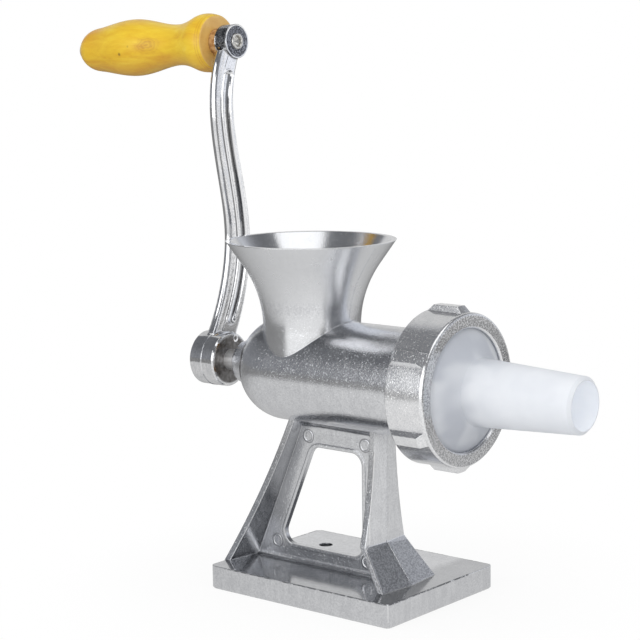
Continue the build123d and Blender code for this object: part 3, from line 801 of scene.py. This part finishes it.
def casting_marks():
    """Parting lines and ejector marks, as die casting leaves them."""
    cast = ("casting", "cast_aluminium", cast_aluminium)
    slope = Vector((leg_kink_z - base_top, 0, foot_front_x - leg_front_x)).normalized()
    forward = Vector((1, 0, 0))
    leg = [
        (Vector((leg_front_x, axis_y, 91 * mm)), forward),
        (Vector((leg_front_x, axis_y, leg_kink_z + 1.5 * mm)), forward),
        (Vector((leg_front_x + 0.4 * mm, axis_y, leg_kink_z)), (forward + slope).normalized()),
        (Vector((foot_front_x - 1.2 * mm, axis_y, base_top + 1.5 * mm)), slope),
    ]
    ridge("leg_parting_line", leg, False, 0.9 * mm, 0.22 * mm, *cast)
    seam_y = axis_y - 1.3 * mm
    heights = [(156 + 2.6 * step) * mm for step in range(16)]
    hopper = [on_surface("body_casting", Vector((50 * mm, seam_y, height)), -forward) for height in heights]
    ridge("hopper_parting_line", hopper, False, 0.8 * mm, 0.2 * mm, *cast)
    seam = [seam_place(math.tau * step / 90) for step in range(90)]
    ridge("hopper_seam", seam, True, 0.9 * mm, 0.25 * mm, "casting", "cast_aluminium", polished_edge)
    near = Vector((0, -1, 0))
    for index, (x, z) in enumerate(web_marks):
        middle = Vector((x, web_face_y, z))
        ejector_mark(f"web_ejector_mark_{index + 1}", middle, near, web_mark_radius, 0.25 * mm, *cast)


def crank_marks():
    """Groove edges, a worn edge and casting marks on the crank, and the bottom of the rivet's hole."""
    forward = Vector((1, 0, 0))
    polished = ("crank", "polished_aluminium", polished_edge)
    for name, side in (("front", 1), ("rear", -1)):
        ridge(f"{name}_groove_edge", groove_outline(side), True, 1.5 * mm, 0.35 * mm, *polished)
    eye = circle(grip_place + grip_axis * (eye_half_length - 0.2 * mm), grip_axis, eye_radius - 0.2 * mm)
    worn_edge = [(place, (outward + grip_axis).normalized()) for place, outward in eye]
    ridge("eye_worn_edge", worn_edge, True, 1.0 * mm, 0.2 * mm, *polished)
    hub = circle(Vector((hub_middle_x, axis_y, axis_z)), forward, hub_radius)
    ridge("hub_parting_line", hub, True, 1.1 * mm, 0.3 * mm, *polished)
    mark = Vector((hub_front_x, axis_y + 4.6 * mm, axis_z + 11.8 * mm))
    ejector_mark("hub_ejector_mark", mark, forward, 2.3 * mm, 0.25 * mm, *polished)
    steel = ("crank", "steel", plated_steel)
    hole_bottom = grip_place + grip_axis * 3.6 * mm
    cup("rivet_hole_bottom", hole_bottom, grip_axis, 2.97 * mm, 2.2 * mm, *steel)


def link_stage(name, corners, faces):
    """Adds a surface of the studio."""
    mesh = bpy.data.meshes.new(name)
    mesh.from_pydata(corners, [], faces)
    surface = bpy.data.objects.new(name, mesh)
    bpy.context.scene.collection.objects.link(surface)
    material = bpy.data.materials.new(name)
    mesh.materials.append(material)
    return Tree(material)


def studio_floor():
    """White table with a faint shadow round the base, and dark in reflections beyond the table's edge."""
    half = 6.0
    corners = [(-half, -half, 0), (half, -half, 0), (half, half, 0), (-half, half, 0)]
    tree = link_stage("white_table", corners, [(0, 1, 2, 3)])
    x, y = tree.place()[1:3]
    camera, glossy, through = tree.light_path()
    distance = (x * x + y * y) ** 0.5
    table = 1 - distance.above(table_reach, table_soft_edge)
    shade = shadow_depth * distance.band(0.4 * shadow_reach, shadow_reach, 1.0, 0.0)
    toward = x * math.cos(table_bright_turn) + y * math.sin(table_bright_turn)
    lit = (table_glow + table_gain * toward).math("MINIMUM", table_most)
    side = tree.heading(x, y, side_turn).above(math.cos(side_half_turn), 0.06)
    side_floor = side * distance.above(side_floor_start, 0.3 * side_floor_start)
    key_floor = tree.heading(x, y, key_floor_turn).above(math.cos(key_floor_half_turn), 0.06)
    side_gain = (side_floor_glow - room_low_glow) * side_floor
    key_gain = (key_floor_glow - room_low_glow) * key_floor
    beyond = room_low_glow + side_gain + key_gain
    mirrored = beyond + (lit - beyond) * table
    strength = camera + glossy * mirrored + through * clear_glow
    glow = tree.add("ShaderNodeEmission", values={"Strength": strength})
    matt = tree.add("ShaderNodeBsdfDiffuse", values={"Color": (1, 1, 1, 1)})
    plain = tree.add("ShaderNodeBsdfDiffuse", values={"Color": (0.7, 0.7, 0.7, 1)})
    seen = camera.math("MAXIMUM", glossy).math("MAXIMUM", through)
    shown = tree.add("ShaderNodeMixShader", values=[camera * shade, glow, matt])
    tree.finish(tree.add("ShaderNodeMixShader", values=[seen, plain, shown]))


def studio_room():
    """White to the camera, even soft light on the pieces; a dim room with a backdrop in reflections."""
    world = bpy.data.worlds.new("room")
    bpy.context.scene.world = world
    tree = Tree(world)
    camera, glossy, through = tree.light_path()
    toward_x, toward_y, toward_z = tree.outputs(
        "ShaderNodeSeparateXYZ", [tree.add("ShaderNodeTexCoord", out="Generated")]
    )
    across = tree.heading(toward_x, toward_y, backdrop_turn)
    behind = across.above(math.cos(backdrop_half_turn), 0.02) * (1 - toward_z.above(backdrop_top, 0.05))
    side = tree.heading(toward_x, toward_y, side_turn).above(math.cos(side_half_turn), 0.06)
    side_wall = side * toward_z.band(0.2, 0.65, 1.0, 0.0)
    plain = toward_z.band(0.10, 0.65, room_low_glow, room_high_glow)
    room = plain + (side_wall_glow - plain) * side_wall
    backdrop = toward_z.band(0.25, 0.45, backdrop_low_glow, backdrop_high_glow)
    mirrored = room + (backdrop - room) * behind
    other = (1 - camera) * (1 - glossy) * (1 - through)
    strength = camera + clear_glow * through + glossy * mirrored + other * ambient_glow
    colour = tree.blend(glossy * (1 - behind), (1, 1, 1, 1), room_tint)
    tree.finish(tree.add("ShaderNodeBackground", values=[colour, strength]), "ShaderNodeOutputWorld")


def soft_box(name, turn, rise, distance, width, height, glow):
    """Rectangular soft light that faces the grinder, with the brightness that its reflection shows."""
    lamp = bpy.data.lights.new(name, "AREA")
    lamp.shape = "RECTANGLE"
    lamp.size = width
    lamp.size_y = height
    lamp.energy = glow * math.pi * width * height
    turn, rise = math.radians(turn), math.radians(rise)
    flat = math.cos(rise)
    toward = Vector((flat * math.cos(turn), flat * math.sin(turn), math.sin(rise)))
    light = bpy.data.objects.new(name, lamp)
    light.location = Vector((0, 0, 0.15)) + toward * distance
    light.rotation_euler = toward.to_track_quat("Z", "Y").to_euler()
    bpy.context.scene.collection.objects.link(light)


def photo_camera():
    """Camera at the photograph's place, with its focal length."""
    lens = bpy.data.cameras.new("camera")
    lens.sensor_fit = "HORIZONTAL"
    lens.sensor_width = sensor_width
    lens.lens = focal_pixels * sensor_width / picture_pixels
    lens.clip_start = 0.01
    camera = bpy.data.objects.new("camera", lens)
    back = camera_right.cross(camera_up)
    turn = Matrix((camera_right, camera_up, back)).transposed()
    camera.matrix_world = Matrix.Translation(camera_place) @ turn.to_4x4()
    bpy.context.scene.collection.objects.link(camera)
    bpy.context.scene.camera = camera


casting_marks()
crank_marks()
worn_edges()
studio_floor()
studio_room()
soft_box("left_front_box", turn=-94, rise=16, distance=1.4, width=1.32, height=1.00, glow=1.65)
soft_box("front_box", turn=-52, rise=9, distance=1.5, width=0.90, height=0.65, glow=1.45)
soft_box("overhead_box", turn=-20, rise=66, distance=1.1, width=1.0, height=0.9, glow=1.1)
photo_camera()

bpy.context.scene.view_settings.view_transform = "Standard"
